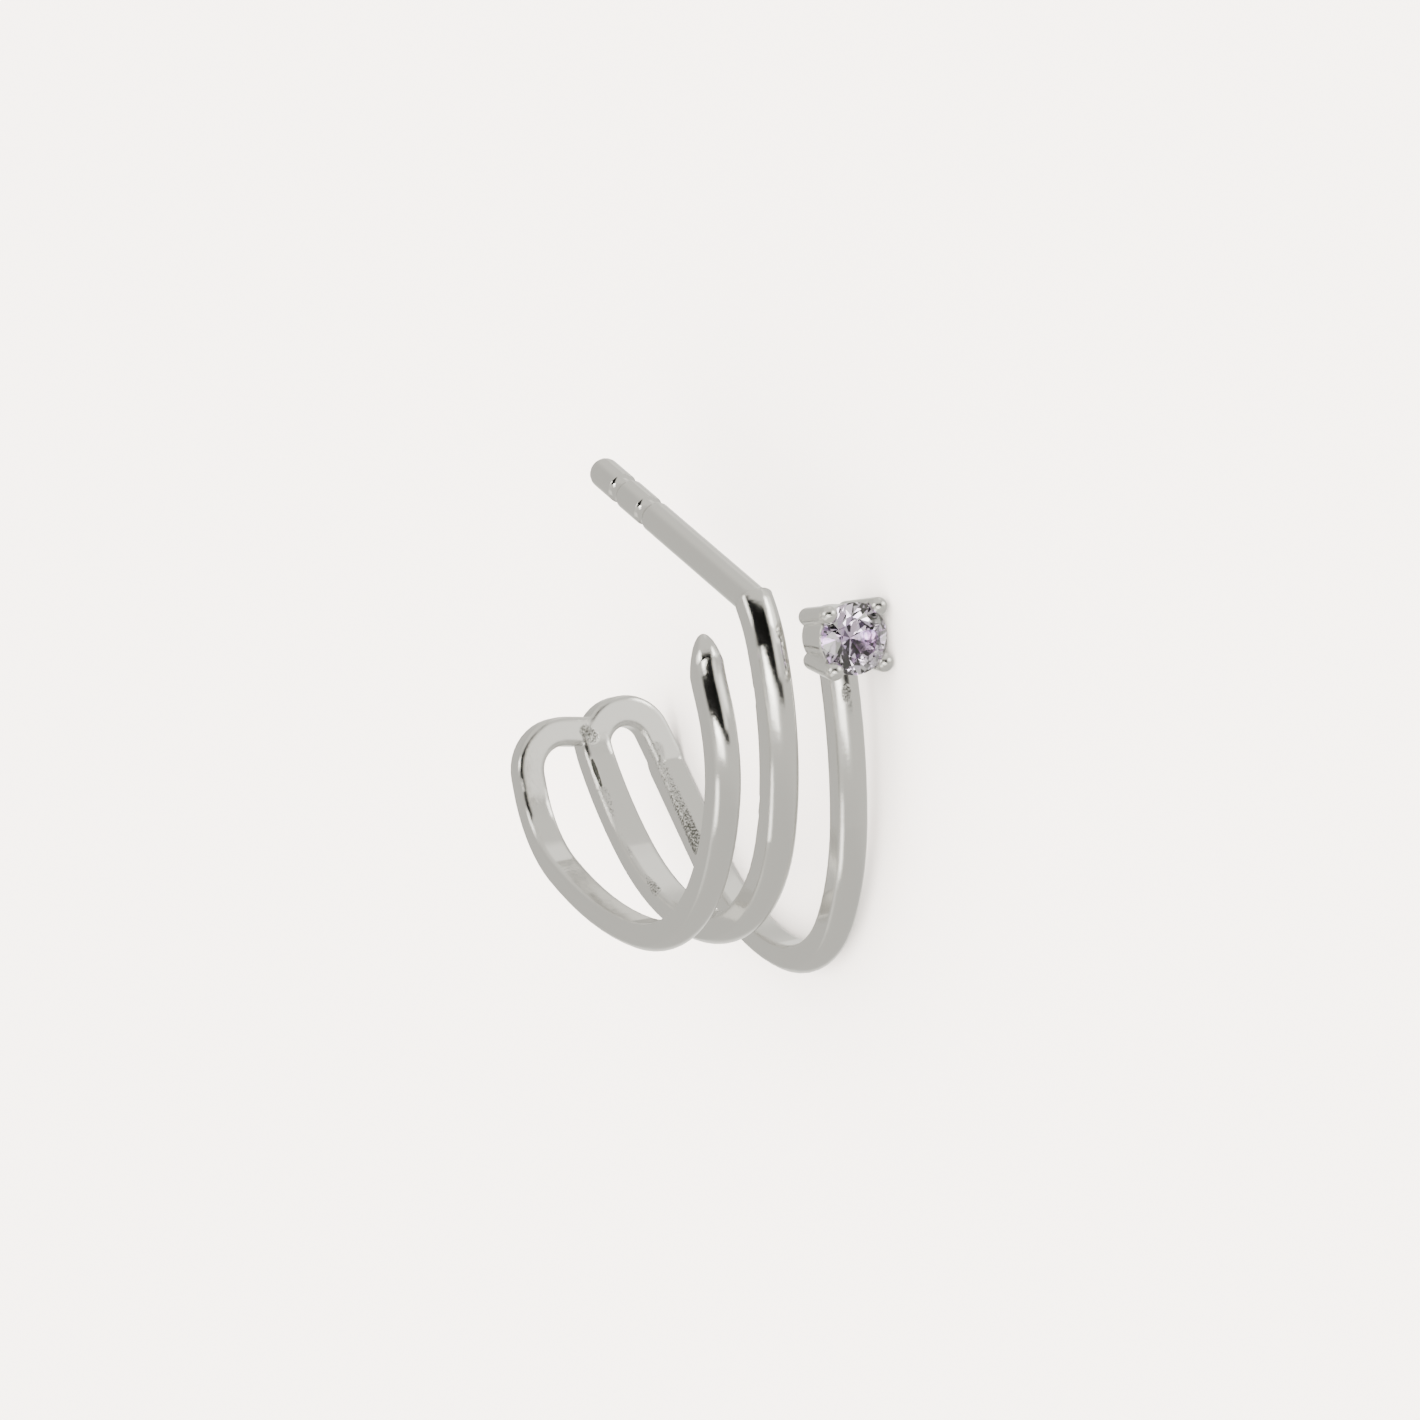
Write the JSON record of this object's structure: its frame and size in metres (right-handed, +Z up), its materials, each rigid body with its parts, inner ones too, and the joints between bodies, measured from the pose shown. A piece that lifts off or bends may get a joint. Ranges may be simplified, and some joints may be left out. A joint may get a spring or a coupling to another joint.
{
  "type": "huggie earring",
  "caption": "Rigid huggie earring of joined domed wire hoops with a straight ear post and a claw-set round stone, for a pierced ear lobe.",
  "frame": {"origin": "middle of the bounding box's footprint, on the surface it lies on", "axes": "+Z up from the surface, from the hoop with the stone to the pointed hoop; +Y from the front bars to the back of the ear, along the post; +X from the bottoms of the hoops to their tops. It lies on its side as it comes to rest."},
  "size_m": [0.0132, 0.0136, 0.0061],
  "materials": {
    "silver": "polished silver, a little soft",
    "lilac_stone": "clear pale lilac, faceted"
  },
  "bodies": {
    "root": {"earring_frame": "silver", "stone": "lilac_stone"}
  },
  "joints": []
}
